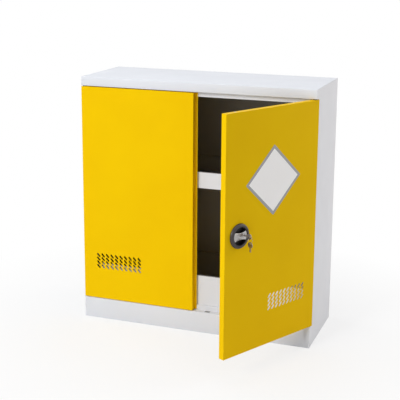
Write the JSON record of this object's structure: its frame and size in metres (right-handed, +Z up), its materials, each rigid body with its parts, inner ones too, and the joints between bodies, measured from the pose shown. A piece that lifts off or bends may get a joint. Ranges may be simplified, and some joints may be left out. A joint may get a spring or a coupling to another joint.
{
  "type": "safety storage cabinet",
  "caption": "Low steel safety cabinet with two swing doors, a turning lock handle with rods, a sump tray and a shelf tray.",
  "frame": {"origin": "on the floor, at the middle of the underside of the plinth's front foot", "axes": "+Z up, the doors' front plane faces -Y, +X to the right seen from the front"},
  "size_m": [0.9552, 0.7569, 1],
  "materials": {
    "light_grey_coat": "fine satin powder coat",
    "dark_inner_coat": "matt powder coat",
    "yellow_coat": "smooth satin powder coat",
    "zinc_steel": "zinc plated",
    "black_nylon": "moulded",
    "black_moulding": "moulded, satin gloss",
    "satin_chrome": "satin chrome plated die casting",
    "nickel_silver": "stamped nickel silver"
  },
  "bodies": {
    "carcass": {"right_side": "light_grey_coat", "left_side": "light_grey_coat", "back_panel": "dark_inner_coat", "top_panel": "light_grey_coat", "plinth_front": "light_grey_coat", "floor_panel": "light_grey_coat", "shelf_upright_right_front": "zinc_steel", "shelf_upright_right_rear": "zinc_steel", "shelf_upright_left_front": "zinc_steel", "shelf_upright_left_rear": "zinc_steel", "shelf_clip_right_front": "zinc_steel", "shelf_clip_right_rear": "zinc_steel", "shelf_clip_left_front": "zinc_steel", "shelf_clip_left_rear": "zinc_steel", "shelf_tray": "light_grey_coat", "sump_tray": "light_grey_coat", "hinge_pin_right_top": "zinc_steel", "hinge_pin_right_bottom": "zinc_steel", "hinge_pin_left_top": "zinc_steel", "hinge_pin_left_bottom": "zinc_steel"},
    "left_door": {"left_door_panel": "yellow_coat", "left_door_stiffener": "yellow_coat", "hinge_bush_left_top": "black_nylon", "hinge_bush_left_bottom": "black_nylon"},
    "right_door": {"right_door_panel": "yellow_coat", "right_door_stiffener": "yellow_coat", "hinge_bush_right_top": "black_nylon", "hinge_bush_right_bottom": "black_nylon", "handle_rosette": "black_moulding", "lock_case": "zinc_steel", "lock_cover": "zinc_steel", "lock_screw_upper": "zinc_steel", "lock_screw_lower": "zinc_steel", "rod_guide_top": "black_nylon", "rod_guide_bottom": "black_nylon"},
    "handle": {"handle_grip": "satin_chrome", "lock_cylinder": "satin_chrome", "handle_spindle": "zinc_steel", "spindle_screw": "zinc_steel", "drive_pinion": "zinc_steel"},
    "key": {"cylinder_plug": "satin_chrome", "lock_cam": "zinc_steel", "lock_key": "nickel_silver"},
    "spare_keys": {"key_ring": "satin_chrome", "spare_key": "nickel_silver"},
    "top_rod_body": {"top_rod": "zinc_steel"},
    "bottom_rod_body": {"bottom_rod": "zinc_steel"}
  },
  "joints": [
    {"name": "left_door_swing", "type": "hinge", "parent": "carcass", "child": "left_door", "pos_m": [-0.465, -0.0005, 0.5245], "axis": [0, 0, -1], "range_deg": [0, 110]},
    {"name": "right_door_swing", "type": "hinge", "parent": "carcass", "child": "right_door", "pos_m": [0.465, -0.0005, 0.5245], "axis": [0, 0, 1], "range_deg": [-63, 47]},
    {"name": "handle_turn", "type": "hinge", "parent": "right_door", "child": "handle", "pos_m": [0.29637, -0.3579, 0.528], "axis": [-0.891, 0.454, 0], "range_deg": [0, 90]},
    {"name": "top_rod_slide", "type": "slide", "parent": "right_door", "child": "top_rod_body", "axis": [0, 0, 1], "range_m": [0, 0.0142]},
    {"name": "bottom_rod_slide", "type": "slide", "parent": "right_door", "child": "bottom_rod_body", "axis": [0, 0, -1], "range_m": [0, 0.0142]},
    {"name": "key_turn", "type": "hinge", "parent": "handle", "child": "key", "pos_m": [0.30545, -0.34008, 0.528], "axis": [0.891, -0.454, 0], "range_deg": [0, 90]},
    {"name": "spare_key_swing", "type": "hinge", "parent": "key", "child": "spare_keys", "pos_m": [0.33663, -0.35596, 0.5254], "axis": [0.891, -0.454, 0], "range_deg": [-30, 30]}
  ],
  "couplings": [
    {"joint": "top_rod_slide", "follows": "handle_turn", "m_per_rad": 0.009},
    {"joint": "bottom_rod_slide", "follows": "handle_turn", "m_per_rad": 0.009}
  ]
}
